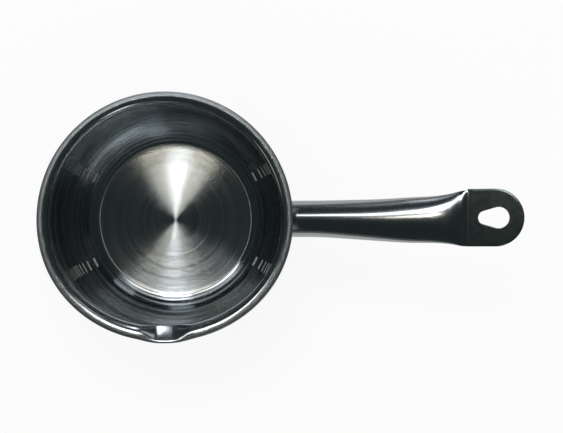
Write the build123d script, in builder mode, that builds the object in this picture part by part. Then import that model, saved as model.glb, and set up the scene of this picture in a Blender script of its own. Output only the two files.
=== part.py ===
from build123d import *

import math
import os

# A polished steel milk pan with one pressed pouring lip and a tube handle.
# Millimetres. The origin is the centre of the base where it rests, +Z is up,
# +X runs out along the handle and -Y points out through the lip.

# Bowl, drawn from one sheet
sheet = 0.7
mouth_radius = 70.0
floor_radius = 47.5
floor_bend_radius = 12.0
floor_bend_angle = 22.0
rim_top = 85.0
roll_radius = 4.5
roll_droop = 35.0

# Pouring lip, and the side of the rim that pressing it draws in
lip_start_depth = 24.0
lip_push = 2.1
lip_half_angle = 15.0
lip_flat_angle = 3.5
lip_drop = 1.0
lip_crease_in = 1.2
lip_crease_drop = 0.8
lip_straighten = 0.85
lip_roll_loss = 1.9
neck_draw_in = 5.2
crest_draw_in = 3.6
roll_draw_in = 0.5
draw_in_shift = 4.0
draw_in_half_angle = 80.0
rim_steps = 48
roll_stations = [0.0, 30.0, 60.0, 90.0]

# Heat base, an aluminium disc closed in by a steel cap
base_thickness = 4.0
cap_sheet = 0.5
cap_corner = 2.5
base_inset = 0.1

# Tube handle, pressed flat at its free end
tube_diameter = 22.2
tube_wall = 0.8
handle_rise = 17.0
handle_drop = 18.0
round_length = 14.0
flatten_length = 114.4
shoulder_length = 4.4
tab_length = 32.4
press_gap = 0.2

# Hanging hole, an egg with its narrow end towards the pan
hole_large_radius = 6.2
hole_small_radius = 3.9
hole_centres = 8.2
hole_end_margin = 8.6
hole_edge_rounding = 0.3

# Bracket welded to the wall, with a spigot that carries the tube
bracket_sheet = 1.2
bracket_width = 36.0
bracket_above = 13.0
bracket_below = 15.0
bracket_corner = 6.0
spigot_clearance = 0.1
spigot_length = 12.0
wall_clearance = 0.02
weld_radius = 2.2
weld_crown = 0.3
weld_spacing_y = 28.0
weld_spacing_z = 17.0

# Blind rivet through the underside of the tube into the spigot
rivet_radius = 1.6
rivet_setback = 7.5
rivet_head_radius = 3.0
rivet_head_height = 1.1
rivet_tail_radius = 2.3
rivet_tail_height = 1.5

# One overrun serves every cut, and one tolerance joins the sheet where its lofted and turned halves meet
overrun = 1.0
seam_tolerance = 0.0001

# Height of the tube along the stretch that flattens, as shares of that stretch and of the diameter
flatten_shares = [
    (0.0, 1.0),
    (0.06, 0.998),
    (0.13, 0.989),
    (0.24, 0.954),
    (0.45, 0.873),
    (0.65, 0.755),
    (0.84, 0.657),
    (0.94, 0.46),
    (1.0, 0.25),
]

# Rounding of the rivet's head, as a share of its height
head_round_share = 0.8

# Worked out from the sizes above
wall_radius = mouth_radius + sheet
floor_top = base_thickness + sheet
bend_angle = math.radians(floor_bend_angle)
bend_outward = Vector(math.sin(bend_angle), -math.cos(bend_angle))
bend_slope = Vector(math.cos(bend_angle), math.sin(bend_angle))
bend_end = Vector(floor_radius, floor_top + floor_bend_radius) + bend_outward * floor_bend_radius
corner_radius = (mouth_radius - bend_end.X) / (1 - math.sin(bend_angle))
wall_foot = bend_end.Y + corner_radius * math.cos(bend_angle)
lip_start = rim_top - lip_start_depth
full_turn = 360.0
lip_angle = -full_turn / 4
drawn_in_turn = 2 * draw_in_half_angle
drawn_in_start = lip_angle + draw_in_shift - draw_in_half_angle
base_radius = floor_radius - base_inset
bracket_radius = wall_radius + bracket_sheet
handle_direction = Vector(math.cos(math.radians(handle_rise)), 0, math.sin(math.radians(handle_rise)))
handle_normal = Vector(-math.sin(math.radians(handle_rise)), 0, math.cos(math.radians(handle_rise)))
handle_root = Vector(wall_radius, 0, rim_top - handle_drop)
tube_radius = tube_diameter / 2
spigot_radius = tube_radius - tube_wall - spigot_clearance
tab_thickness = 2 * tube_wall + press_gap
tab_width = math.pi * (tube_diameter - tab_thickness) / 2 + tab_thickness
tab_end = flatten_length + tab_length - tab_width / 2
hole_centre = flatten_length + tab_length - hole_end_margin - hole_large_radius
across_tab = Axis(handle_root, handle_normal)
bracket_face = Plane.YZ.shift_origin((0, 0, handle_root.Z + (bracket_above - bracket_below) / 2))
rivet_origin = handle_root + handle_direction * rivet_setback
rivet_plane = Plane(origin=rivet_origin, x_dir=handle_direction, z_dir=-handle_normal)


def bell(share):
    """Smooth bump that is 1 at 0 and fades to 0 at -1 and 1."""
    return (1 + math.cos(math.pi * share)) / 2 if abs(share) < 1 else 0.0


def half_plane(angle):
    """Upright plane through the axis, with its own x running outwards at the angle."""
    turn = math.radians(angle)
    return Plane(
        origin=(0, 0, 0),
        x_dir=(math.cos(turn), math.sin(turn), 0),
        z_dir=(math.sin(turn), -math.cos(turn), 0),
    )


def across_handle(distance):
    """Plane square to the handle, that far along it from the wall, with its own x along Y."""
    return Plane(origin=handle_root + handle_direction * distance, x_dir=(0, 1, 0), z_dir=handle_direction)


def along_handle(distance):
    """Plane through the handle's axis and Y, that far along it, with its own x along the handle."""
    return Plane(origin=handle_root + handle_direction * distance, x_dir=handle_direction, z_dir=handle_normal)


def rim_section(angle):
    """Section of the upper wall and the rolled rim, as it stands at that angle from the handle."""
    off_lip = angle - lip_angle
    drawn = bell((off_lip - draw_in_shift) / draw_in_half_angle)
    lip = bell(max(0.0, abs(off_lip) - lip_flat_angle) / (lip_half_angle - lip_flat_angle))
    neck = mouth_radius - neck_draw_in * drawn - lip_crease_in * lip
    crest = mouth_radius + roll_radius - crest_draw_in * drawn + lip_push * lip
    top = rim_top - lip_drop * lip
    rise = roll_radius + (neck_draw_in - crest_draw_in) * drawn + lip_crease_drop * lip
    roll = roll_radius - roll_draw_in * drawn - lip_roll_loss * lip
    power = 2 / (2 - lip_straighten * lip)
    droop = math.radians(roll_droop)
    centre = Vector(crest, top - roll)
    edge = Vector(math.sin(droop), math.cos(droop))
    inside, outside = [], []
    for station in roll_stations:
        level, upright = math.cos(math.radians(station)), math.sin(math.radians(station))
        point = Vector(crest - (crest - neck) * level**power, top - rise * (1 - upright**power))
        through = Vector(level ** (2 - power) / (crest - neck), -(upright ** (2 - power)) / rise).normalized()
        inside.append(point)
        outside.append(point + through * sheet)
    with BuildSketch(half_plane(angle)) as section:
        with BuildLine():
            Spline((mouth_radius, lip_start), inside[0], tangents=((0, 1), (0, 1)))
            Spline(*inside, tangents=((0, 1), (1, 0)))
            TangentArc(inside[-1], centre + edge * roll, tangent=(1, 0))
            Line(centre + edge * roll, centre + edge * (roll - sheet))
            TangentArc(outside[-1], centre + edge * (roll - sheet), tangent=(1, 0))
            Spline(*outside, tangents=((0, 1), (1, 0)))
            Spline((wall_radius, lip_start), outside[0], tangents=((0, 1), (0, 1)))
            Line((mouth_radius, lip_start), (wall_radius, lip_start))
        make_face()
    return section.sketch


os.makedirs("parts", exist_ok=True)

# The drawn-in side of the rim passes through a row of even sections
with BuildPart() as lip_side:
    loft([rim_section(drawn_in_start + drawn_in_turn * step / rim_steps) for step in range(rim_steps + 1)])

# The rest of the rim keeps one section all the way round
with BuildPart() as far_side:
    revolve(rim_section(drawn_in_start + drawn_in_turn), axis=Axis.Z, revolution_arc=full_turn - drawn_in_turn)

# Floor, the bend round its edge, the wide corner and the plain wall
with BuildPart() as lower_bowl:
    with BuildSketch(Plane.XZ):
        with BuildLine():
            Polyline((0, base_thickness), (0, floor_top), (floor_radius, floor_top))
            TangentArc((floor_radius, floor_top), bend_end, tangent=(1, 0))
            TangentArc(bend_end, (mouth_radius, wall_foot), tangent=bend_slope)
            Polyline(
                (mouth_radius, wall_foot),
                (mouth_radius, lip_start),
                (wall_radius, lip_start),
                (wall_radius, wall_foot),
            )
            TangentArc((floor_radius, base_thickness), bend_end + bend_outward * sheet, tangent=(1, 0))
            TangentArc(bend_end + bend_outward * sheet, (wall_radius, wall_foot), tangent=bend_slope)
            Line((floor_radius, base_thickness), (0, base_thickness))
        make_face()
    revolve(axis=Axis.Z)

# The three stretches of the bowl are one drawn sheet
with BuildPart() as pan_bowl:
    add(lower_bowl.part.fuse(far_side.part, lip_side.part, tol=seam_tolerance))
pan_bowl.part.label = "pan_bowl"
export_step(pan_bowl.part, "parts/pan_bowl.step")

# Steel cap that closes in the heat disc and carries the rest face
with BuildPart() as base_cap:
    Cylinder(base_radius, base_thickness, align=(Align.CENTER, Align.CENTER, Align.MIN))
    fillet(base_cap.edges().group_by(Axis.Z)[0], cap_corner)
    offset(amount=-cap_sheet, openings=base_cap.faces().sort_by(Axis.Z)[-1])
base_cap.part.label = "base_cap"
export_step(base_cap.part, "parts/base_cap.step")

# Aluminium heat disc that fills the cap
with BuildPart() as base_core:
    with BuildSketch(Plane.XY.offset(cap_sheet)):
        Circle(base_radius - cap_sheet)
    extrude(amount=base_thickness - cap_sheet)
    fillet(base_core.edges().group_by(Axis.Z)[0], cap_corner - cap_sheet)
base_core.part.label = "base_core"
export_step(base_core.part, "parts/base_core.step")


def oval_perimeter(width, height):
    """Length round an ellipse, by Ramanujan's second formula."""
    skew = 3 * ((width - height) / (width + height)) ** 2
    return math.pi * (width + height) / 2 * (1 + skew / (10 + math.sqrt(4 - skew)))


def flattened_width(height):
    """Width of the oval that the round tube makes when it is pressed to that height."""
    low, high = tube_diameter, tab_width
    for halving in range(50):
        middle = (low + high) / 2
        if oval_perimeter(middle, height) < math.pi * tube_diameter:
            low = middle
        else:
            high = middle
    return middle


def tube_oval(distance, height, inset):
    """Oval section of the tube at that distance from the wall, drawn in by the inset."""
    with BuildSketch(across_handle(distance)) as section:
        Ellipse(flattened_width(height) / 2 - inset, height / 2 - inset)
    return section.sketch


def tube_ovals(inset):
    """Oval sections from the end of the round stretch to the shoulder of the handle."""
    stretch = flatten_length - shoulder_length - round_length
    return [
        tube_oval(round_length + stretch * place, tube_diameter * height, inset) for place, height in flatten_shares
    ]


def pressed_slot(inset, thickness):
    """Flat section where the tube is pressed shut."""
    with BuildSketch(across_handle(flatten_length)) as section:
        SlotOverall(tab_width - 2 * inset, thickness)
    return section.sketch


# Flat end of the handle, with the rounded edges of the pressed tube and the hanging hole
with BuildPart() as handle_tab:
    extrude(pressed_slot(0, tab_thickness), amount=tab_end - flatten_length)
    with BuildSketch(across_handle(tab_end)):
        Rectangle((tab_width - tab_thickness) / 2, tab_thickness, align=(Align.MIN, Align.CENTER))
        with Locations(((tab_width - tab_thickness) / 2, 0)):
            Circle(tab_thickness / 2)
    revolve(axis=Axis(handle_root + handle_direction * tab_end, -handle_normal), revolution_arc=full_turn / 2)
    with BuildSketch(along_handle(hole_centre)):
        Circle(hole_large_radius)
        with Locations((-hole_centres, 0)):
            Circle(hole_small_radius)
        make_hull()
    extrude(amount=tab_thickness, both=True, mode=Mode.SUBTRACT)
    fillet(handle_tab.edges(Select.LAST).filter_by(GeomType.CIRCLE), hole_edge_rounding)

# The tube runs out round from the bracket, flattens into an oval and closes at the shoulder
with BuildPart() as handle_tube:
    for inset, thickness, mode in [(0, tab_thickness, Mode.ADD), (tube_wall, press_gap, Mode.SUBTRACT)]:
        with BuildSketch(across_handle(-tube_radius)):
            Circle(tube_radius - inset)
        extrude(amount=tube_radius + round_length, mode=mode)
        ovals = tube_ovals(inset)
        loft(ovals, mode=mode)
        loft([ovals[-1], pressed_slot(inset, thickness)], mode=mode)
    add(handle_tab.part)
    with BuildSketch():
        Circle(bracket_radius)
    extrude(amount=rim_top, mode=Mode.SUBTRACT)
    with BuildSketch(rivet_plane):
        Circle(rivet_radius)
    extrude(amount=tube_radius + overrun, mode=Mode.SUBTRACT)
handle_tube.part.label = "handle_tube"
export_step(handle_tube.part, "parts/handle_tube.step")

# Plate of the bracket, bent to follow the wall
with BuildPart() as bracket_plate:
    with BuildSketch(Plane.XY.offset(handle_root.Z - bracket_below)):
        Circle(bracket_radius)
        Circle(wall_radius + wall_clearance, mode=Mode.SUBTRACT)
    extrude(amount=bracket_above + bracket_below)
    with BuildSketch(bracket_face):
        RectangleRounded(bracket_width, bracket_above + bracket_below, bracket_corner)
    extrude(amount=bracket_radius + overrun, mode=Mode.INTERSECT)

# Bracket with the short spigot that stands inside the root of the tube
with BuildPart() as handle_bracket:
    with BuildSketch(across_handle(-tube_radius)):
        Circle(spigot_radius)
        Circle(spigot_radius - bracket_sheet, mode=Mode.SUBTRACT)
    extrude(amount=tube_radius + spigot_length)
    with BuildSketch():
        Circle(wall_radius + wall_clearance)
    extrude(amount=rim_top, mode=Mode.SUBTRACT)
    add(bracket_plate.part)
    with BuildSketch(bracket_face):
        with GridLocations(weld_spacing_y, weld_spacing_z, 2, 2):
            Circle(weld_radius)
    extrude(amount=bracket_radius + overrun, mode=Mode.SUBTRACT)
    with BuildSketch(rivet_plane):
        Circle(rivet_radius)
    extrude(amount=tube_radius + overrun, mode=Mode.SUBTRACT)
handle_bracket.part.label = "handle_bracket"
export_step(handle_bracket.part, "parts/handle_bracket.step")

# Weld metal that fills the four holes of the bracket and fuses it to the wall
with BuildPart() as bracket_welds:
    with BuildSketch(Plane.XY.offset(handle_root.Z - bracket_below)):
        Circle(bracket_radius + weld_crown)
        Circle(wall_radius + wall_clearance, mode=Mode.SUBTRACT)
    extrude(amount=bracket_above + bracket_below)
    with BuildSketch(bracket_face):
        with GridLocations(weld_spacing_y, weld_spacing_z, 2, 2):
            Circle(weld_radius)
    extrude(amount=bracket_radius + overrun, mode=Mode.INTERSECT)
bracket_welds.part.label = "bracket_welds"
export_step(bracket_welds.part, "parts/bracket_welds.step")

# Domed head of the rivet, seated on the round of the tube
with BuildPart() as rivet_head:
    with BuildSketch(rivet_plane.offset(spigot_radius)):
        Circle(rivet_head_radius)
    extrude(amount=tube_radius + rivet_head_height - spigot_radius)
    fillet(rivet_head.faces().sort_by(across_tab)[0].edges(), rivet_head_height * head_round_share)
    with BuildSketch(across_handle(0)):
        Circle(tube_radius)
    extrude(amount=2 * rivet_setback, mode=Mode.SUBTRACT)

# Tail of the rivet, drawn up against the inside of the spigot
with BuildPart() as handle_rivet:
    with BuildSketch(rivet_plane.offset(spigot_radius - bracket_sheet - rivet_tail_height)):
        Circle(rivet_tail_radius)
    extrude(amount=rivet_tail_height)
    with BuildSketch(across_handle(0)):
        Circle(spigot_radius - bracket_sheet)
    extrude(amount=2 * rivet_setback, mode=Mode.INTERSECT)
    with BuildSketch(rivet_plane.offset(spigot_radius - bracket_sheet - rivet_tail_height)):
        Circle(rivet_radius)
    extrude(amount=rivet_tail_height + bracket_sheet + spigot_clearance + tube_wall)
    add(rivet_head.part)
handle_rivet.part.label = "handle_rivet"
export_step(handle_rivet.part, "parts/handle_rivet.step")
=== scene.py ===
import math

import bmesh
import bpy
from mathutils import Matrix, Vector


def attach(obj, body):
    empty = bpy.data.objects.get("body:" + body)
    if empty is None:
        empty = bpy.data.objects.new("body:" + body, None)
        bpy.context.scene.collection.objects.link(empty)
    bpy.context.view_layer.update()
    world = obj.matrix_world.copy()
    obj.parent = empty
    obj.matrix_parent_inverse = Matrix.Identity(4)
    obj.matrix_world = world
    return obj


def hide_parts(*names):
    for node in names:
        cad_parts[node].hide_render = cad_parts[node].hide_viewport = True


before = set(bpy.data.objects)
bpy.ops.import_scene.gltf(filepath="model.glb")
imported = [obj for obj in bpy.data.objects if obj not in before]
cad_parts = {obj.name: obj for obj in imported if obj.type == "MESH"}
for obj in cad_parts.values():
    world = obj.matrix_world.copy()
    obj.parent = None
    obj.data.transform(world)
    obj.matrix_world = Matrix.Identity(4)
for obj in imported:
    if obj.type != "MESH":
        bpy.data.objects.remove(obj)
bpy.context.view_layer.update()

scene = bpy.context.scene
scene.view_settings.view_transform = "Standard"

# The camera hangs above the table and looks straight down, a little way along the handle from
# the middle of the bowl, so the bowl is seen to its floor and the far wall is seen at a slant.
camera_place = (0.0701, 0.0015, 0.852)
camera_roll = math.radians(-0.4)
camera_lens = 81.8
camera_sensor = 36.0

eye = bpy.data.cameras.new("camera")
eye.lens = camera_lens
eye.sensor_width = camera_sensor
eye.clip_start = 0.01
camera = bpy.data.objects.new("camera", eye)
camera.location = camera_place
camera.rotation_euler = (0, 0, camera_roll)
scene.collection.objects.link(camera)
scene.camera = camera


# Bowl, one disc of 0.7 mm stainless steel drawn deep, turned flat across its floor, polished up
# the wall and rolled outwards at the rim. One lip is pressed out of the rim on the -Y side, and
# pressing it has pulled in the rim on both sides of it.
MM = 0.001
bowl_sheet = 0.7 * MM
mouth_radius = 70.0 * MM
floor_radius = 50.0 * MM
floor_top = 4.7 * MM
floor_crown = 0.6 * MM
bend_start = 47.5 * MM
bend_radius = 12.0 * MM
bend_angle = math.radians(22)
ring_radius = 50.0 * MM
ring_width = 0.9 * MM
ring_height = 0.07 * MM
rim_top = 85.0 * MM
roll_radius = 4.48 * MM
roll_droop = math.radians(35)
lip_start = 61.0 * MM
lip_push = 2.1 * MM
lip_half_angle = math.radians(15)
lip_flat_angle = math.radians(3.5)
lip_drop = 1.0 * MM
lip_crease_in = 1.2 * MM
lip_crease_drop = 0.8 * MM
lip_straighten = 0.85
lip_roll_loss = 1.9 * MM
neck_draw_in = 5.2 * MM
crest_draw_in = 3.6 * MM
roll_draw_in = 0.5 * MM
crest_curl = 0.55
draw_in_shift = math.radians(4)
draw_in_half_angle = math.radians(80)
lip_angle = math.radians(-90)
bowl_steps = 256
corner_steps = 24
roll_steps = 26


def grow(mesh, end, place):
    """Extrudes the open end of an outline to a place and returns the new end."""
    new = bmesh.ops.extrude_vert_indiv(mesh, verts=[end])["verts"][0]
    new.co = place
    return new


def sweep(mesh, end, centre, axis, angle, steps):
    """Swings the open end of an outline round a centre and returns the new end."""
    swung = bmesh.ops.spin(mesh, geom=[end], cent=centre, axis=axis, angle=angle, steps=steps)
    return next(piece for piece in swung["geom_last"] if isinstance(piece, bmesh.types.BMVert))


def turn_outline(mesh, steps):
    """Turns an outline in the XZ plane into a closed round shell."""
    bmesh.ops.spin(
        mesh, geom=mesh.verts[:] + mesh.edges[:], cent=(0, 0, 0), axis=(0, 0, 1),
        angle=math.tau, steps=steps, use_merge=True,
    )
    bmesh.ops.remove_doubles(mesh, verts=mesh.verts[:], dist=0.00001)


def put_on_root(name, mesh, finishes, node, sharp=40):
    """Makes the finished mesh an object that stands for a CAD node and rides on the pan."""
    data = bpy.data.meshes.new(name)
    mesh.to_mesh(data)
    mesh.free()
    data.shade_smooth()
    data.set_sharp_from_angle(angle=math.radians(sharp))
    piece = bpy.data.objects.new(name, data)
    for finish in finishes:
        data.materials.append(finish)
    scene.collection.objects.link(piece)
    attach(piece, "root")
    if node:
        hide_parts(node)
    return piece


def bell(share):
    """Smooth bump that is 1 at 0 and fades to 0 at -1 and 1."""
    return (1 + math.cos(math.pi * share)) / 2 if abs(share) < 1 else 0.0


def rim_point(angle, climb, curl):
    """Distance from the axis and height of a point of the upper bowl at an angle round it.
    climb runs from 0 at the plain wall to 1 at the neck, curl from 0 at the neck to 1 at the edge.
    """
    off_lip = math.remainder(angle - lip_angle, math.tau)
    drawn = bell((off_lip - draw_in_shift) / draw_in_half_angle)
    lip = bell(max(0, abs(off_lip) - lip_flat_angle) / (lip_half_angle - lip_flat_angle))
    neck = mouth_radius - neck_draw_in * drawn - lip_crease_in * lip
    crest = mouth_radius + roll_radius - crest_draw_in * drawn + lip_push * lip
    top = rim_top - lip_drop * lip
    rise = roll_radius + (neck_draw_in - crest_draw_in) * drawn + lip_crease_drop * lip
    if curl > crest_curl:
        roll = roll_radius - roll_draw_in * drawn - lip_roll_loss * lip
        tilt = roll_droop * (curl - crest_curl) / (1 - crest_curl)
        return crest + roll * math.sin(tilt), top - roll * (1 - math.cos(tilt))
    if curl:
        turned = math.radians(90) * curl / crest_curl
        power = 2 / (2 - lip_straighten * lip)
        radius = crest - (crest - neck) * math.cos(turned) ** power
        return radius, top - rise * (1 - math.sin(turned) ** power)
    late = climb * climb * (3 - 2 * climb)
    return mouth_radius + (neck - mouth_radius) * late, lip_start + (top - rise - lip_start) * climb


bowl = bmesh.new()
climb_layer = bowl.verts.layers.float.new("climb")
curl_layer = bowl.verts.layers.float.new("curl")
end = bowl.verts.new((0, 0, floor_top + floor_crown))
for share in (0.02, 0.06, 0.12, 0.2, 0.3, 0.4, 0.5, 0.6, 0.7, 0.8, 0.9, 1.0):
    end = grow(bowl, end, (bend_start * share, 0, floor_top + floor_crown * (1 - share * share)))
end = sweep(bowl, end, (bend_start, 0, floor_top + bend_radius), (0, -1, 0), bend_angle, 40)
corner_radius = (mouth_radius - end.co.x) / (1 - math.sin(bend_angle))
wall_foot = end.co.z + corner_radius * math.cos(bend_angle)
end = sweep(
    bowl, end, (mouth_radius - corner_radius, 0, wall_foot), (0, -1, 0),
    math.radians(90) - bend_angle, corner_steps,
)
for share in (0.1, 0.3, 0.5, 0.7, 0.85, 1.0):
    end = grow(bowl, end, (mouth_radius, 0, wall_foot + (lip_start - wall_foot) * share))
for step in range(1, 15):
    end = grow(bowl, end, (mouth_radius, 0, lip_start))
    end[climb_layer] = step / 14
for step in range(1, roll_steps + 1):
    end = grow(bowl, end, (mouth_radius, 0, lip_start))
    end[climb_layer] = 1.0
    end[curl_layer] = step / roll_steps
for corner in bowl.verts:
    if corner[climb_layer]:
        radius, height = rim_point(math.radians(90), corner[climb_layer], corner[curl_layer])
        corner.co = (radius, 0, height)
for corner in bowl.verts:
    corner.co.z += ring_height * bell((corner.co.x - ring_radius) / (ring_width / 2))
turn_outline(bowl, bowl_steps)
for corner in bowl.verts:
    if corner[climb_layer]:
        angle = math.atan2(corner.co.y, corner.co.x)
        radius, height = rim_point(angle, corner[climb_layer], corner[curl_layer])
        corner.co = (radius * math.cos(angle), radius * math.sin(angle), height)
bmesh.ops.recalc_face_normals(bowl, faces=bowl.faces[:])
if min(bowl.faces, key=lambda face: face.calc_center_median().length).normal.z < 0:
    bmesh.ops.reverse_faces(bowl, faces=bowl.faces[:])
for face in bowl.faces:
    middle = face.calc_center_median()
    across = math.hypot(middle.x, middle.y)
    face.material_index = 0 if across < floor_radius else 1
    beaded = abs(across - ring_radius) < ring_width * 0.25
    curls = [corner[curl_layer] for corner in face.verts]
    if beaded or min(curls) > 0.5 or 0 < max(curls) < 0.08:
        face.material_index = 2
    elif max(curls) > 0:
        face.material_index = 3


def to_linear(code):
    """Linear colour of an sRGB hex value."""
    parts = [int(code[place:place + 2], 16) / 255 for place in (1, 3, 5)]
    linear = [part / 12.92 if part <= 0.04045 else ((part + 0.055) / 1.055) ** 2.4 for part in parts]
    return linear + [1.0]


def put(tree, kind, inputs=None, **settings):
    """Adds a node, sets its options, and fills its sockets with values or with other sockets."""
    node = tree.nodes.new(kind)
    for name, value in settings.items():
        setattr(node, name, value)
    for socket, value in (inputs or {}).items():
        if isinstance(value, bpy.types.NodeSocket):
            tree.links.new(value, node.inputs[socket])
        else:
            node.inputs[socket].default_value = value
    return node


def steel(name, colour, roughness, anisotropy):
    """Starts a bare metal finish and returns it with its node tree and shader."""
    finish = bpy.data.materials.new(name)
    finish.use_nodes = True
    tree = finish.node_tree
    shader = tree.nodes["Principled BSDF"]
    shader.inputs["Base Color"].default_value = to_linear(colour)
    shader.inputs["Metallic"].default_value = 1.0
    shader.inputs["Roughness"].default_value = roughness
    shader.inputs["Anisotropic"].default_value = anisotropy
    return finish, tree, shader


# Stainless steel faced on a lathe: the tool leaves fine rings, which spread every highlight
# into a fan from the middle. Real rings are 0.1 mm apart, drawn here at about 2 mm to show.
turned_steel, tree, shader = steel("turned_stainless_floor", "#c4c8c9", 0.22, 1.0)
ring_spacing = 1.9 * MM
place = put(tree, "ShaderNodeTexCoord").outputs["Object"]
flat = put(tree, "ShaderNodeVectorMath", {0: place, 1: (1, 1, 0)}, operation="MULTIPLY").outputs[0]
out = put(tree, "ShaderNodeVectorMath", {0: flat}, operation="LENGTH").outputs["Value"]
around = put(tree, "ShaderNodeVectorMath", {0: flat}, operation="NORMALIZE").outputs[0]
around = put(tree, "ShaderNodeVectorMath", {0: around, 1: (0.3, 0.3, 0)}, operation="MULTIPLY").outputs[0]
rings = put(tree, "ShaderNodeMath", {0: out, 1: 1 / ring_spacing}, operation="MULTIPLY").outputs[0]
rings = put(tree, "ShaderNodeCombineXYZ", {"Z": rings}).outputs[0]
rings = put(tree, "ShaderNodeVectorMath", {0: around, 1: rings}, operation="ADD").outputs[0]
grooves = put(tree, "ShaderNodeTexNoise", {"Vector": rings, "Scale": 1.0, "Detail": 2.0, "Roughness": 0.5})
rough = put(
    tree, "ShaderNodeMapRange",
    {"Value": grooves.outputs["Fac"], "From Min": 0.3, "From Max": 0.7, "To Min": 0.18, "To Max": 0.27},
)
bump = put(
    tree, "ShaderNodeBump", {"Height": grooves.outputs["Fac"], "Strength": 0.3, "Distance": 0.00006}
)
tree.links.new(rough.outputs[0], shader.inputs["Roughness"])
tree.links.new(bump.outputs[0], shader.inputs["Normal"])
tree.links.new(place, shader.inputs["Tangent"])

# The same steel polished with a mop that ran round the wall: its fine lines draw every reflection
# out up and down the wall, in bright and dark bands. Real lines are finer than 0.1 mm, drawn here
# in bands about 2 mm apart.
polished_wall, tree, shader = steel("polished_stainless_wall", "#b4babb", 0.15, 1.0)
line_spacing = 2.0 * MM
place = put(tree, "ShaderNodeTexCoord").outputs["Object"]
flat = put(tree, "ShaderNodeVectorMath", {0: place, 1: (1, 1, 0)}, operation="MULTIPLY").outputs[0]
out = put(tree, "ShaderNodeVectorMath", {0: flat}, operation="LENGTH").outputs["Value"]
outward = put(tree, "ShaderNodeVectorMath", {0: flat}, operation="NORMALIZE").outputs[0]
around = put(tree, "ShaderNodeVectorMath", {0: outward, 1: (0.6, 0.6, 0)}, operation="MULTIPLY").outputs[0]
height = put(tree, "ShaderNodeSeparateXYZ", {0: place}).outputs["Z"]
travel = put(tree, "ShaderNodeMath", {0: out, 1: height}, operation="ADD").outputs[0]
travel = put(tree, "ShaderNodeMath", {0: travel, 1: 1 / line_spacing}, operation="MULTIPLY").outputs[0]
travel = put(tree, "ShaderNodeCombineXYZ", {"Z": travel}).outputs[0]
lines = put(tree, "ShaderNodeVectorMath", {0: around, 1: travel}, operation="ADD").outputs[0]
lines = put(tree, "ShaderNodeTexNoise", {"Vector": lines, "Scale": 1.0, "Detail": 1.0, "Roughness": 0.6})
rough = put(
    tree, "ShaderNodeMapRange",
    {"Value": lines.outputs["Fac"], "From Min": 0.36, "From Max": 0.64, "To Min": 0.05, "To Max": 0.25},
)
bump = put(tree, "ShaderNodeBump", {"Height": lines.outputs["Fac"], "Strength": 1.0, "Distance": 0.00018})
up_and_out = put(tree, "ShaderNodeVectorMath", {0: outward, 1: (0, 0, 1)}, operation="ADD").outputs[0]

# Four plain scales are etched in the rounded corner, with one tick for each 50 ml that this bowl
# holds, from 50 to 350 ml, so they stand closer together as the bowl widens.
tick_heights = [high * MM for high in (9.92, 14.12, 17.89, 21.43, 24.82, 28.13, 31.39)]
tick_width = 0.9 * MM
tick_bearing = math.radians(28)
tick_half_angle = math.radians(3)
parts = put(tree, "ShaderNodeSeparateXYZ", {0: place})
ahead = put(tree, "ShaderNodeMath", {0: parts.outputs["X"]}, operation="ABSOLUTE").outputs[0]
aside = put(tree, "ShaderNodeMath", {0: parts.outputs["Y"]}, operation="ABSOLUTE").outputs[0]
bearing = put(tree, "ShaderNodeMath", {0: aside, 1: ahead}, operation="ARCTAN2").outputs[0]
on_scale = put(
    tree, "ShaderNodeMath", {0: bearing, 1: tick_bearing, 2: tick_half_angle}, operation="COMPARE",
).outputs[0]
on_tick = 0.0
for tick_height in tick_heights:
    tick = put(
        tree, "ShaderNodeMath", {0: height, 1: tick_height, 2: tick_width / 2}, operation="COMPARE",
    ).outputs[0]
    on_tick = put(tree, "ShaderNodeMath", {0: on_tick, 1: tick}, operation="ADD").outputs[0]
etched = put(tree, "ShaderNodeMath", {0: on_scale, 1: on_tick}, operation="MULTIPLY").outputs[0]
rough = put(tree, "ShaderNodeMix", {"Factor": etched, "A": rough.outputs[0], "B": 0.6}, data_type="FLOAT")
tint = put(
    tree, "ShaderNodeMix",
    {"Factor": etched, "A": to_linear("#b4babb"), "B": to_linear("#e4e8e8")}, data_type="RGBA",
)
bare = put(tree, "ShaderNodeMix", {"Factor": etched, "A": 1.0, "B": 0.8}, data_type="FLOAT")
tree.links.new(tint.outputs["Result"], shader.inputs["Base Color"])
tree.links.new(bare.outputs[0], shader.inputs["Metallic"])
tree.links.new(rough.outputs[0], shader.inputs["Roughness"])
tree.links.new(bump.outputs[0], shader.inputs["Normal"])
tree.links.new(up_and_out, shader.inputs["Tangent"])

# The rolled rim has only the satin grain that the rolling tool left, finer than a millimetre,
# so it glitters in small specks instead of mirroring.
satin_rim, tree, shader = steel("satin_rolled_rim", "#b4b8b8", 0.45, 0.0)
grain_size = 1.0 * MM
place = put(tree, "ShaderNodeTexCoord").outputs["Object"]
grain = put(tree, "ShaderNodeTexNoise", {"Vector": place, "Scale": 1 / grain_size, "Detail": 2.0})
rough = put(
    tree, "ShaderNodeMapRange",
    {"Value": grain.outputs["Fac"], "From Min": 0.3, "From Max": 0.7, "To Min": 0.38, "To Max": 0.52},
)
bump = put(tree, "ShaderNodeBump", {"Height": grain.outputs["Fac"], "Strength": 0.9, "Distance": 0.0004})
tree.links.new(rough.outputs[0], shader.inputs["Roughness"])
tree.links.new(bump.outputs[0], shader.inputs["Normal"])

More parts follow.
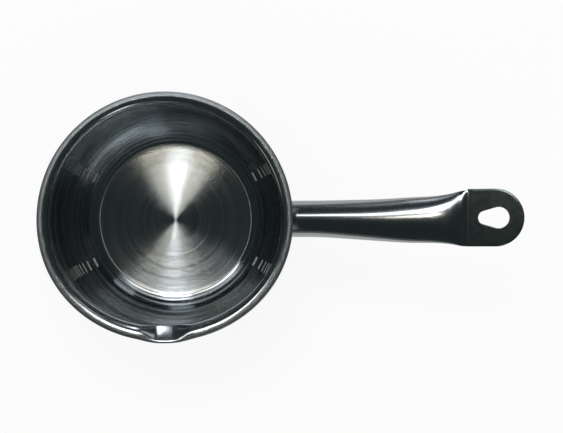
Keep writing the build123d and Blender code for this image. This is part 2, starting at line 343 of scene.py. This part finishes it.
# The inner quarter of the roll, which carries the slope of the lip, was buffed to an even shine
polished_roll, tree, shader = steel("polished_inner_roll", "#c8cccc", 0.18, 0.0)
place = put(tree, "ShaderNodeTexCoord").outputs["Object"]
ripple = put(tree, "ShaderNodeTexNoise", {"Vector": place, "Scale": 120.0, "Detail": 1.0})
rough = put(
    tree, "ShaderNodeMapRange",
    {"Value": ripple.outputs["Fac"], "From Min": 0.3, "From Max": 0.7, "To Min": 0.15, "To Max": 0.22},
)
tree.links.new(rough.outputs[0], shader.inputs["Roughness"])

# The outside was brushed with a belt that ran round the wall, so lights stand on it as tall bands
brushed_outside, tree, shader = steel("brushed_steel_outside", "#bdc1c1", 0.27, 0.7)
brush_spacing = 0.6 * MM
place = put(tree, "ShaderNodeTexCoord").outputs["Object"]
strokes = put(tree, "ShaderNodeMapping", {"Vector": place, "Scale": (14, 14, 1 / brush_spacing)}).outputs[0]
strokes = put(tree, "ShaderNodeTexNoise", {"Vector": strokes, "Scale": 1.0, "Detail": 2.0, "Roughness": 0.6})
rough = put(
    tree, "ShaderNodeMapRange",
    {"Value": strokes.outputs["Fac"], "From Min": 0.3, "From Max": 0.7, "To Min": 0.22, "To Max": 0.34},
)
bump = put(tree, "ShaderNodeBump", {"Height": strokes.outputs["Fac"], "Strength": 0.3, "Distance": 0.00006})
tree.links.new(rough.outputs[0], shader.inputs["Roughness"])
tree.links.new(bump.outputs[0], shader.inputs["Normal"])
tree.links.new(put(tree, "ShaderNodeCombineXYZ", {"Z": 1.0}).outputs[0], shader.inputs["Tangent"])

# The second four finishes are the outside of the same faces, which the thickness gives them
inner_finishes = [turned_steel, polished_wall, satin_rim, polished_roll]
outer_finishes = [brushed_outside, brushed_outside, satin_rim, brushed_outside]
bowl_piece = put_on_root("bowl", bowl, inner_finishes + outer_finishes, "pan_bowl")
skin = bowl_piece.modifiers.new("sheet", "SOLIDIFY")
skin.thickness = bowl_sheet
skin.offset = -1
skin.use_even_offset = True
skin.use_quality_normals = True
skin.material_offset = len(inner_finishes)
skin.material_offset_rim = 0
edge = bowl_piece.modifiers.new("edge", "BEVEL")
edge.width = 0.25 * MM
edge.segments = 3
edge.limit_method = "ANGLE"
edge.angle_limit = math.radians(60)
edge.material = -1


# Handle, one steel tube that starts round at the bracket, is pressed flatter and wider along its
# length, and closes at a shoulder into a flat end with a hanging hole. The tube keeps the same
# length round its section all the way, so it grows wide as it grows flat.
tube_diameter = 22.2 * MM
handle_rise = math.radians(17)
handle_root = Vector((70.7 * MM, 0, 66.99 * MM))
handle_along = Vector((math.cos(handle_rise), 0, math.sin(handle_rise)))
handle_up = Vector((-math.sin(handle_rise), 0, math.cos(handle_rise)))
round_length = 14.0 * MM
flatten_length = 114.4 * MM
tab_length = 32.38 * MM
tab_thickness = 1.8 * MM
tab_width = math.pi * (tube_diameter - tab_thickness) / 2 + tab_thickness
hole_large_radius = 6.2 * MM
hole_small_radius = 3.9 * MM
hole_centres = 8.2 * MM
hole_end_margin = 8.6 * MM
bracket_radius = 71.9 * MM
tube_segments = 128
# The photograph shows the middle of the handle a little towards the lip, and a slimmer shoulder
bow_middle = 74.0 * MM
bow_reach = 62.0 * MM
bow = 1.2 * MM
slim_middle = 100.0 * MM
slim_reach = 26.0 * MM
slim_share = 0.05
# Below this height the oval turns into a flat section with rounded sides
squaring_height = 6.3 * MM
# Distance from the wall and height of the tube, both in millimetres
tube_heights = (
    (14, 22.2), (20, 22.16), (26.5, 21.95), (37, 21.2), (57.2, 19.4), (76.4, 16.9), (90, 14.7),
    (98, 12.6), (104, 10.1), (109, 6.3), (112, 3.6), (113.7, 2.1), (114.4, 1.8),
)


def oval_width(height):
    """Width of an oval of that height with the perimeter of the round tube."""
    low, high = tube_diameter, tab_width
    for halving in range(40):
        middle = (low + high) / 2
        skew = 3 * ((middle - height) / (middle + height)) ** 2
        perimeter = math.pi * (middle + height) / 2 * (1 + skew / (10 + math.sqrt(4 - skew)))
        if perimeter < math.pi * tube_diameter:
            low = middle
        else:
            high = middle
    return middle


def tube_height(distance):
    """Height of the tube at a distance from the wall, on a smooth curve through the table."""
    table = [(far * MM, high * MM) for far, high in tube_heights]
    if distance <= table[0][0]:
        return table[0][1]
    slopes = [0.0]
    for (a, b), (c, d), (e, f) in zip(table, table[1:], table[2:]):
        before, after = (d - b) / (c - a), (f - d) / (e - c)
        slopes.append(0 if before * after <= 0 else 2 * before * after / (before + after))
    slopes.append(0.0)
    for ((a, b), (c, d)), (m, n) in zip(zip(table, table[1:]), zip(slopes, slopes[1:])):
        if distance <= c:
            t = (distance - a) / (c - a)
            late = t * t * (3 - 2 * t)
            return b + (d - b) * late + (c - a) * (t * (1 - t) ** 2 * m + t * t * (t - 1) * n)
    return table[-1][1]


handle = bmesh.new()
ring = bmesh.ops.create_circle(handle, segments=tube_segments, radius=1.0)["verts"]
bearings = [(corner.co.x, corner.co.y) for corner in ring]
root_ring = ring
loop = list({edge for corner in ring for edge in corner.link_edges})
stations = [0, 9 * MM] + [round_length + step * 2.2 * MM for step in range(41)]
stations += [104.6 * MM + step * 0.6 * MM for step in range(14)]
stations += [distance * MM for distance in (112.8, 113.2, 113.6, 114.0, 114.4)]


def place_ring(corners, distance):
    """Sets a ring of the tube in its place along the handle, with its oval or flat section."""
    height = tube_height(distance)
    width = oval_width(height) * (1 - slim_share * bell((distance - slim_middle) / slim_reach))
    aside = -bow * bell((distance - bow_middle) / bow_reach)
    flatness = 2 + 5 * max(0, (squaring_height - height) / (squaring_height - tab_thickness)) ** 2
    for corner, (across, up) in zip(corners, bearings):
        across = math.copysign(abs(across) ** (2 / flatness), across) * width / 2 + aside
        up = math.copysign(abs(up) ** (2 / flatness), up) * height / 2
        corner.co = handle_root + handle_along * distance + Vector((0, across, 0)) + handle_up * up


place_ring(ring, stations[0])
for station in stations[1:]:
    grown = bmesh.ops.extrude_edge_only(handle, edges=loop)["geom"]
    loop = [piece for piece in grown if isinstance(piece, bmesh.types.BMEdge)]
    fresh = {piece for piece in grown if isinstance(piece, bmesh.types.BMVert)}
    ring_next = []
    for corner in ring:
        others = (edge.other_vert(corner) for edge in corner.link_edges)
        ring_next.append(next(other for other in others if other in fresh))
    loop = [edge for edge in loop if all(corner in fresh for corner in edge.verts)]
    ring = ring_next
    place_ring(ring, station)
for corner in root_ring:
    slide = (math.sqrt(bracket_radius ** 2 - corner.co.y ** 2) - corner.co.x) / handle_along.x
    corner.co += handle_along * slide
bmesh.ops.recalc_face_normals(handle, faces=handle.faces[:])

# Polished tube steel: the belt ran round the tube, so highlights are drawn out along it
polished_tube, tree, shader = steel("belt_polished_tube", "#b6bbbb", 0.18, 0.25)
mark_spacing = 0.5 * MM
place = put(tree, "ShaderNodeTexCoord").outputs["Object"]
marks = put(tree, "ShaderNodeMapping", {"Vector": place, "Scale": (1 / mark_spacing, 60, 60)}).outputs[0]
marks = put(tree, "ShaderNodeTexNoise", {"Vector": marks, "Scale": 1.0, "Detail": 2.0})
rough = put(
    tree, "ShaderNodeMapRange",
    {"Value": marks.outputs["Fac"], "From Min": 0.3, "From Max": 0.7, "To Min": 0.16, "To Max": 0.2},
)
along = put(tree, "ShaderNodeCombineXYZ", {"X": handle_along.x, "Z": handle_along.z}).outputs[0]
tree.links.new(rough.outputs[0], shader.inputs["Roughness"])
tree.links.new(along, shader.inputs["Tangent"])

put_on_root("handle", handle, [polished_tube], "handle_tube", sharp=30)

# Flat end of the handle, punched with an egg-shaped hole whose narrow end is towards the pan
tab = bmesh.new()
tab_end = flatten_length + tab_length - tab_width / 2
hole_centre = flatten_length + tab_length - hole_end_margin - hole_large_radius
tab_start = flatten_length - 0.6 * MM
hole_lean = math.asin((hole_large_radius - hole_small_radius) / hole_centres)
first = tab.verts.new((tab_start, 0, 0))
end = grow(tab, first, (tab_start, tab_width / 2, 0))
end = grow(tab, end, (tab_end, tab_width / 2, 0))
end = sweep(tab, end, (tab_end, 0, 0), (0, 0, -1), math.radians(90), 32)
end = grow(tab, end, (hole_centre + hole_large_radius, 0, 0))
end = sweep(tab, end, (hole_centre, 0, 0), (0, 0, 1), math.radians(90) + hole_lean, 28)
end = grow(
    tab, end,
    (
        hole_centre - hole_centres - hole_small_radius * math.sin(hole_lean),
        hole_small_radius * math.cos(hole_lean), 0,
    ),
)
end = sweep(
    tab, end, (hole_centre - hole_centres, 0, 0), (0, 0, 1), math.radians(90) - hole_lean, 18
)
tab.edges.new((end, first))
bmesh.ops.contextual_create(tab, geom=tab.edges[:])
bmesh.ops.mirror(tab, geom=tab.verts[:] + tab.edges[:] + tab.faces[:], axis="Y", merge_dist=0.000001)
bmesh.ops.recalc_face_normals(tab, faces=tab.faces[:])
thick = bmesh.ops.extrude_face_region(tab, geom=tab.faces[:])["geom"]
for corner in tab.verts:
    corner.co.z -= tab_thickness / 2
for corner in thick:
    if isinstance(corner, bmesh.types.BMVert):
        corner.co.z += tab_thickness
bmesh.ops.recalc_face_normals(tab, faces=tab.faces[:])


def on_edge(edge, hole):
    """Whether an edge runs round the hole, or round the outside of the flat end."""
    if abs(edge.verts[0].co.z - edge.verts[1].co.z) > 0.0001 or edge.calc_face_angle(0) < 1:
        return False
    inner = all(
        math.hypot(corner.co.x - hole_centre, corner.co.y) < hole_large_radius + 0.0002
        or math.hypot(corner.co.x - hole_centre + hole_centres, corner.co.y) < hole_small_radius + 0.0002
        for corner in edge.verts
    )
    return inner == hole


bmesh.ops.bevel(
    tab, geom=[edge for edge in tab.edges if on_edge(edge, True)], offset=0.3 * MM, segments=3,
    affect="EDGES", profile=0.5, material=-1,
)
bmesh.ops.bevel(
    tab, geom=[edge for edge in tab.edges if on_edge(edge, False)], offset=0.85 * MM, segments=5,
    affect="EDGES", profile=0.5, material=-1,
)
for corner in tab.verts:
    out, across, up = corner.co
    corner.co = handle_root + handle_along * out + Vector((0, across, 0)) + handle_up * up

# The flat end was struck between dies and only tumbled to a satin. Its colour is painted shade: darkened
# below the tube's steel so the flat top renders as dark as the dark ceiling it reflects
satin_tab_painted_shade, tree, shader = steel("tumbled_flat_painted_shade", "#8b9694", 0.15, 0.0)
place = put(tree, "ShaderNodeTexCoord").outputs["Object"]
cloud = put(tree, "ShaderNodeTexNoise", {"Vector": place, "Scale": 260.0, "Detail": 2.0})
rough = put(
    tree, "ShaderNodeMapRange",
    {"Value": cloud.outputs["Fac"], "From Min": 0.3, "From Max": 0.7, "To Min": 0.14, "To Max": 0.18},
)
tree.links.new(rough.outputs[0], shader.inputs["Roughness"])

tab_piece = put_on_root("handle_flat_end", tab, [satin_tab_painted_shade], "handle_tube", sharp=50)
even = tab_piece.modifiers.new("even", "WEIGHTED_NORMAL")
even.keep_sharp = True


# Bracket, a steel plate curved to the wall and spot welded to it, with a hole for the handle's root
stamped_bracket, tree, shader = steel("stamped_bracket_steel", "#b6bab9", 0.3, 0.0)
place = put(tree, "ShaderNodeTexCoord").outputs["Object"]
stretched = put(tree, "ShaderNodeMapping", {"Vector": place, "Scale": (900, 900, 120)}).outputs[0]
drawn = put(tree, "ShaderNodeTexNoise", {"Vector": stretched, "Scale": 1.0, "Detail": 3.0})
rough = put(
    tree, "ShaderNodeMapRange",
    {"Value": drawn.outputs["Fac"], "From Min": 0.3, "From Max": 0.7, "To Min": 0.24, "To Max": 0.36},
)
bump = put(tree, "ShaderNodeBump", {"Height": drawn.outputs["Fac"], "Strength": 0.2, "Distance": 0.00005})
tree.links.new(rough.outputs[0], shader.inputs["Roughness"])
tree.links.new(bump.outputs[0], shader.inputs["Normal"])


def finish_node(node, finish):
    """Gives a CAD node's own mesh its finish."""
    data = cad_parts[node].data
    data.materials.clear()
    data.materials.append(finish)


finish_node("handle_bracket", stamped_bracket)

# Welds, four low crowns that the spot welder's tips left, with a straw-coloured heat ring
weld_steel, tree, shader = steel("spot_weld_steel", "#8f8a80", 0.42, 0.0)
place = put(tree, "ShaderNodeTexCoord").outputs["Object"]
mottle = put(tree, "ShaderNodeTexNoise", {"Vector": place, "Scale": 1500.0, "Detail": 3.0})
tint = put(
    tree, "ShaderNodeMix",
    {"Factor": mottle.outputs["Fac"], "A": to_linear("#77705f"), "B": to_linear("#a9a69e")}, data_type="RGBA",
)
bump = put(tree, "ShaderNodeBump", {"Height": mottle.outputs["Fac"], "Strength": 0.4, "Distance": 0.0001})
tree.links.new(tint.outputs["Result"], shader.inputs["Base Color"])
tree.links.new(bump.outputs[0], shader.inputs["Normal"])
finish_node("bracket_welds", weld_steel)

# Rivet through the handle's root and the bracket's spigot, its head set in a press
rivet_steel, tree, shader = steel("set_rivet_steel", "#b9bcbb", 0.26, 0.0)
place = put(tree, "ShaderNodeTexCoord").outputs["Object"]
pressed = put(tree, "ShaderNodeTexNoise", {"Vector": place, "Scale": 1200.0, "Detail": 2.0})
rough = put(
    tree, "ShaderNodeMapRange",
    {"Value": pressed.outputs["Fac"], "From Min": 0.3, "From Max": 0.7, "To Min": 0.2, "To Max": 0.34},
)
tree.links.new(rough.outputs[0], shader.inputs["Roughness"])
finish_node("handle_rivet", rivet_steel)

# Base, an aluminium disc pressed between the bowl and a thin steel cap. The cap was turned, and
# wear on the stove has dulled it.
turned_cap, tree, shader = steel("turned_cap_steel", "#b2b4b2", 0.33, 0.8)
place = put(tree, "ShaderNodeTexCoord").outputs["Object"]
flat = put(tree, "ShaderNodeVectorMath", {0: place, 1: (1, 1, 0)}, operation="MULTIPLY").outputs[0]
out = put(tree, "ShaderNodeVectorMath", {0: flat}, operation="LENGTH").outputs["Value"]
rings = put(tree, "ShaderNodeMath", {0: out, 1: 1 / ring_spacing}, operation="MULTIPLY").outputs[0]
rings = put(tree, "ShaderNodeCombineXYZ", {"Z": rings}).outputs[0]
grooves = put(tree, "ShaderNodeTexNoise", {"Vector": rings, "Scale": 1.0, "Detail": 2.0, "Roughness": 0.7})
wear = put(tree, "ShaderNodeTexNoise", {"Vector": place, "Scale": 60.0, "Detail": 6.0})
worn = put(
    tree, "ShaderNodeMath", {0: grooves.outputs["Fac"], 1: wear.outputs["Fac"]}, operation="MULTIPLY",
)
rough = put(
    tree, "ShaderNodeMapRange",
    {"Value": worn.outputs[0], "From Min": 0.1, "From Max": 0.4, "To Min": 0.26, "To Max": 0.44},
)
bump = put(tree, "ShaderNodeBump", {"Height": grooves.outputs["Fac"], "Strength": 0.3, "Distance": 0.00008})
tree.links.new(rough.outputs[0], shader.inputs["Roughness"])
tree.links.new(bump.outputs[0], shader.inputs["Normal"])
tree.links.new(place, shader.inputs["Tangent"])
finish_node("base_cap", turned_cap)

pressed_core, tree, shader = steel("pressed_aluminium_core", "#c9cbcc", 0.4, 0.0)
place = put(tree, "ShaderNodeTexCoord").outputs["Object"]
pits = put(tree, "ShaderNodeTexNoise", {"Vector": place, "Scale": 900.0, "Detail": 2.0})
rough = put(
    tree, "ShaderNodeMapRange",
    {"Value": pits.outputs["Fac"], "From Min": 0.3, "From Max": 0.7, "To Min": 0.34, "To Max": 0.5},
)
tree.links.new(rough.outputs[0], shader.inputs["Roughness"])
finish_node("base_core", pressed_core)


# Studio: a pale table, which in reflections glows as a painted pool of light round the pan and goes almost
# dark further out, a pale horizon and a dark ceiling, with a key and a strip softbox high to the north, two
# small panels over the bowl that light the turned floor, and low dim windows all round for the wall. Placed
# to give the photograph's reflections. Diffuse light comes evenly from all round.
floor_half = 3.0
floor_mesh = bmesh.new()
bmesh.ops.create_grid(floor_mesh, x_segments=1, y_segments=1, size=floor_half)
floor_data = bpy.data.meshes.new("table_top")
floor_mesh.to_mesh(floor_data)
floor_mesh.free()
table_top = bpy.data.objects.new("table_top", floor_data)
scene.collection.objects.link(table_top)
paper = bpy.data.materials.new("white_table")
paper.use_nodes = True
tree = paper.node_tree
tree.nodes.remove(tree.nodes["Principled BSDF"])
path = put(tree, "ShaderNodeLightPath")
seen = put(
    tree, "ShaderNodeMath",
    {0: path.outputs["Is Camera Ray"], 1: path.outputs["Is Glossy Ray"]}, operation="MAXIMUM",
)
seen = put(
    tree, "ShaderNodeMath",
    {0: seen.outputs[0], 1: path.outputs["Is Transmission Ray"]}, operation="MAXIMUM",
)
matt = put(tree, "ShaderNodeBsdfDiffuse", {"Color": to_linear("#e6e6e4")})
# Painted pool of light: to reflections the table glows at 0.62 within 0.24 m of the pan's axis and fades to
# 0.03 by 0.38 m, while to the camera it stays white
place = put(tree, "ShaderNodeTexCoord").outputs["Object"]
far = put(tree, "ShaderNodeVectorMath", {0: place}, operation="LENGTH")
painted_light_pool = put(
    tree, "ShaderNodeMapRange",
    {"Value": far.outputs["Value"], "From Min": 0.24, "From Max": 0.38, "To Min": 0.62, "To Max": 0.03},
)
bright = put(
    tree, "ShaderNodeMath", {0: painted_light_pool.outputs[0], 1: path.outputs["Is Camera Ray"]}, operation="MAXIMUM",
)
glow = put(tree, "ShaderNodeEmission", {"Color": (1, 1, 1, 1), "Strength": bright.outputs[0]})
share = put(tree, "ShaderNodeMath", {0: seen.outputs[0], 1: 0.88}, operation="MULTIPLY")
mixed = put(tree, "ShaderNodeMixShader", {0: share.outputs[0], 1: matt.outputs[0], 2: glow.outputs[0]})
tree.links.new(mixed.outputs[0], tree.nodes["Material Output"].inputs["Surface"])
floor_data.materials.append(paper)

studio = bpy.data.worlds.new("studio")
scene.world = studio
studio.use_nodes = True
tree = studio.node_tree
path = put(tree, "ShaderNodeLightPath")
upward = put(tree, "ShaderNodeSeparateXYZ", {0: put(tree, "ShaderNodeTexCoord").outputs["Generated"]})
ceiling = put(
    tree, "ShaderNodeMapRange",
    {"Value": upward.outputs["Z"], "From Min": -0.1, "From Max": 0.02, "To Min": 0.0, "To Max": 1.0},
    interpolation_type="SMOOTHSTEP",
)
sky = put(
    tree, "ShaderNodeMix", {"Factor": ceiling.outputs[0], "A": (1, 1, 1, 1), "B": to_linear("#2b3234")},
    data_type="RGBA",
)
room = put(tree, "ShaderNodeBackground", {"Color": sky.outputs["Result"], "Strength": 1.0})
even = put(tree, "ShaderNodeBackground", {"Color": (1, 1, 1, 1), "Strength": 0.75})
backdrop = put(tree, "ShaderNodeBackground", {"Color": (1, 1, 1, 1), "Strength": 1.0})
lit = put(
    tree, "ShaderNodeMixShader",
    {0: path.outputs["Is Diffuse Ray"], 1: room.outputs[0], 2: even.outputs[0]},
)
whole = put(
    tree, "ShaderNodeMixShader",
    {0: path.outputs["Is Camera Ray"], 1: lit.outputs[0], 2: backdrop.outputs[0]},
)
tree.links.new(whole.outputs[0], tree.nodes["World Output"].inputs["Surface"])


def softbox(name, place, aim, width, length, strength, colour):
    """Hangs a softbox that faces a point, with a brightness in the units of the picture's white."""
    light = bpy.data.lights.new(name, "AREA")
    light.shape = "RECTANGLE"
    light.size = width
    light.size_y = length
    light.energy = strength * width * length * math.pi
    light.color = to_linear(colour)[:3]
    box = bpy.data.objects.new(name, light)
    box.location = place
    box.rotation_euler = (Vector(aim) - Vector(place)).to_track_quat("-Z", "Y").to_euler()
    scene.collection.objects.link(box)
    return box


softbox("key_softbox", (-0.13, 0.68, 1.46), (0, 0, 0), 0.28, 0.36, 8.5, "#f4f8ff")
softbox("strip_softbox", (-0.29, 0.66, 1.46), (-0.29, 0, 0), 1.42, 0.26, 3.4, "#fbfbff")
softbox("wide_panel", (-0.062, 0.16, 0.90), (-0.062, 0.16, 0), 0.21, 0.05, 8.0, "#fff6e2")
softbox("core_panel", (-0.06, 0.16, 0.895), (-0.06, 0.16, 0), 0.045, 0.05, 11.0, "#f8fbff")
low_window = softbox("low_window", (0.05, 1.5, 0.46), (0, 0, 0.08), 0.44, 0.8, 2.4, "#f2f6ff")
low_window.data.shape = "ELLIPSE"
softbox("east_softbox", (0.8, 1.25, 1.1), (0, 0, 0.06), 0.45, 0.4, 0.7, "#f2f6ff")
softbox("west_window", (-1.55, -0.7, 0.34), (0, 0, 0.08), 0.7, 0.45, 0.5, "#fff8ee")
south_window = softbox("south_window", (0.42, -1.35, 0.5), (0, 0, 0.05), 0.4, 0.4, 1.6, "#f4f8ff")
south_window.data.shape = "ELLIPSE"
